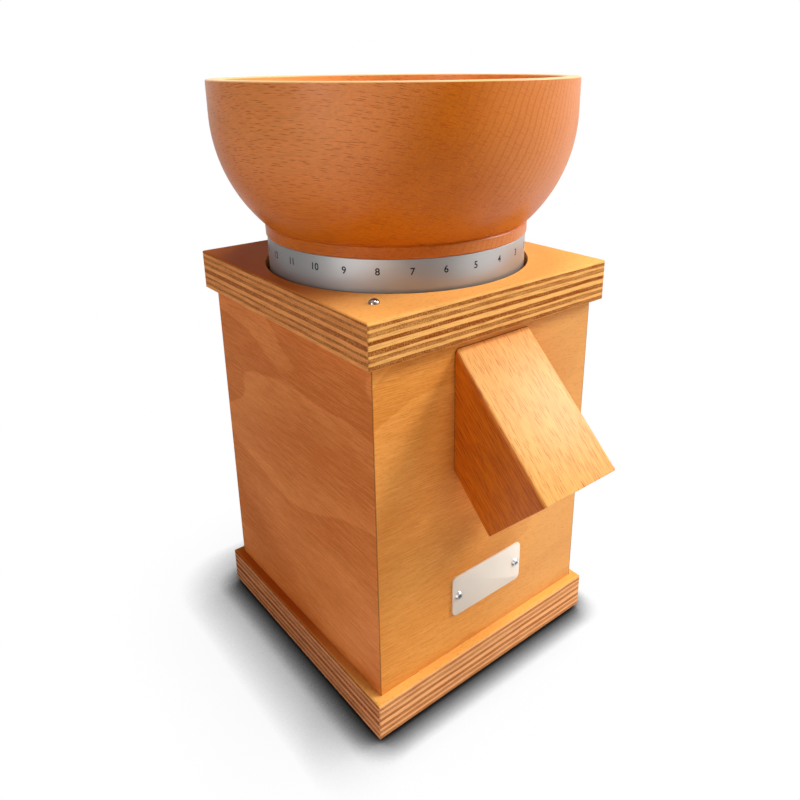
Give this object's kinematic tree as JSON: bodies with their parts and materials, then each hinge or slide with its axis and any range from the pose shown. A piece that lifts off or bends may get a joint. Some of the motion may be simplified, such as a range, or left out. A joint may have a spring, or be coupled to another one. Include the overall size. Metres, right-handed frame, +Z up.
{
  "type": "electric grain mill",
  "caption": "Electric stone grain mill: plywood case, turned wooden hopper on a numbered grind ring, slanted flour chute, motor inside.",
  "frame": {"origin": "middle of the base plate's underside, 3 mm above the surface that the rubber feet stand on, on the axis of the millstones", "axes": "+Z up along the axis of the millstones, -Y to the front where the flour chute is, +X to the right as seen from the front"},
  "size_m": [0.203, 0.2488, 0.35],
  "materials": {
    "plywood": "oiled birch and beech plywood, plies showing on the edges",
    "wall_veneer": "oiled beech veneer, satin",
    "solid_beech": "oiled solid beech, satin",
    "turned_beech": "turned and oiled beech, satin",
    "dowel_wood": "raw beech",
    "scale_aluminium": "satin, fine turned",
    "plate_metal": "satin silver-beige",
    "cast_metal": "die cast",
    "steel": "zinc plated",
    "bright_steel": "polished",
    "millstone": "bonded corundum and ceramic, open grained",
    "copper": "lacquered copper wire",
    "laminations": "stacked electrical steel",
    "rubber": "matt",
    "black_plastic": "moulded",
    "white_plastic": "moulded food-grade",
    "felt": "pressed felt",
    "brass": "stamped",
    "lead_insulation": "insulated wire"
  },
  "bodies": {
    "case": {"base_plate": "plywood", "top_plate": "plywood", "front_wall": "wall_veneer", "back_wall": "wall_veneer", "left_wall": "wall_veneer", "right_wall": "wall_veneer", "wall_dowels": "dowel_wood", "base_screws": "steel", "rubber_feet": "rubber", "foot_screws": "steel", "index_pin": "bright_steel", "chute": "solid_beech", "chute_screws": "steel", "nameplate": "plate_metal", "nameplate_screws": "steel", "pressure_springs": "steel", "mill_chamber": "cast_metal", "chamber_screws": "steel", "motor_mount_screws": "steel", "shaft_seal": "felt", "upper_end_shield": "cast_metal", "lower_end_shield": "cast_metal", "motor_housing": "cast_metal", "motor_tie_bolts": "steel", "stator_core": "laminations", "windings": "copper", "bearing_outer_races": "bright_steel", "switch_housing": "black_plastic", "switch_tabs": "brass", "cord_gland": "black_plastic", "gland_nut": "black_plastic", "terminal_block": "white_plastic", "terminal_screws": "steel", "capacitor": "white_plastic", "internal_leads": "lead_insulation"},
    "stone_unit": {"upper_stone": "millstone", "stone_carrier": "cast_metal", "carrier_screws": "steel", "guide_pins": "steel"},
    "hopper": {"hopper_bowl": "turned_beech", "feed_throat": "white_plastic", "screw_ring": "cast_metal", "scale_ring": "scale_aluminium", "hopper_screws": "steel"},
    "runner": {"bearing_inner_races": "bright_steel", "motor_shaft": "steel", "rotor": "cast_metal", "cooling_fan": "black_plastic", "stone_hub": "cast_metal", "hub_nut": "steel", "runner_stone": "millstone", "sweepers": "white_plastic"},
    "ball_train": {"bearing_balls": "bright_steel", "bearing_cages": "white_plastic"},
    "rocker": {"switch_rocker": "black_plastic"}
  },
  "joints": [
    {"name": "grind_lift", "type": "slide", "parent": "case", "child": "stone_unit", "axis": [0, 0, 1], "range_m": [-0.00052, 0.00089], "deforming": ["pressure_springs"]},
    {"name": "grind_turn", "type": "hinge", "parent": "stone_unit", "child": "hopper", "pos_m": [0, 0, 0.2625], "axis": [0, 0, 1], "range_deg": [-93.33, 160]},
    {"name": "mill_spin", "type": "hinge", "parent": "case", "child": "runner", "pos_m": [0, 0, 0.18905], "axis": [0, 0, 1], "continuous": true},
    {"name": "ball_spin", "type": "hinge", "parent": "case", "child": "ball_train", "pos_m": [0, 0, 0.18905], "axis": [0, 0, 1], "continuous": true},
    {"name": "switch_tip", "type": "hinge", "parent": "case", "child": "rocker", "pos_m": [-0.042, 0.08135, 0.107], "axis": [-1, 0, 0], "range_deg": [0, 20]}
  ],
  "couplings": [
    {"joint": "grind_lift", "follows": "grind_turn", "m_per_rad": 0.00031831},
    {"joint": "ball_spin", "follows": "mill_spin", "ratio": 0.372}
  ]
}
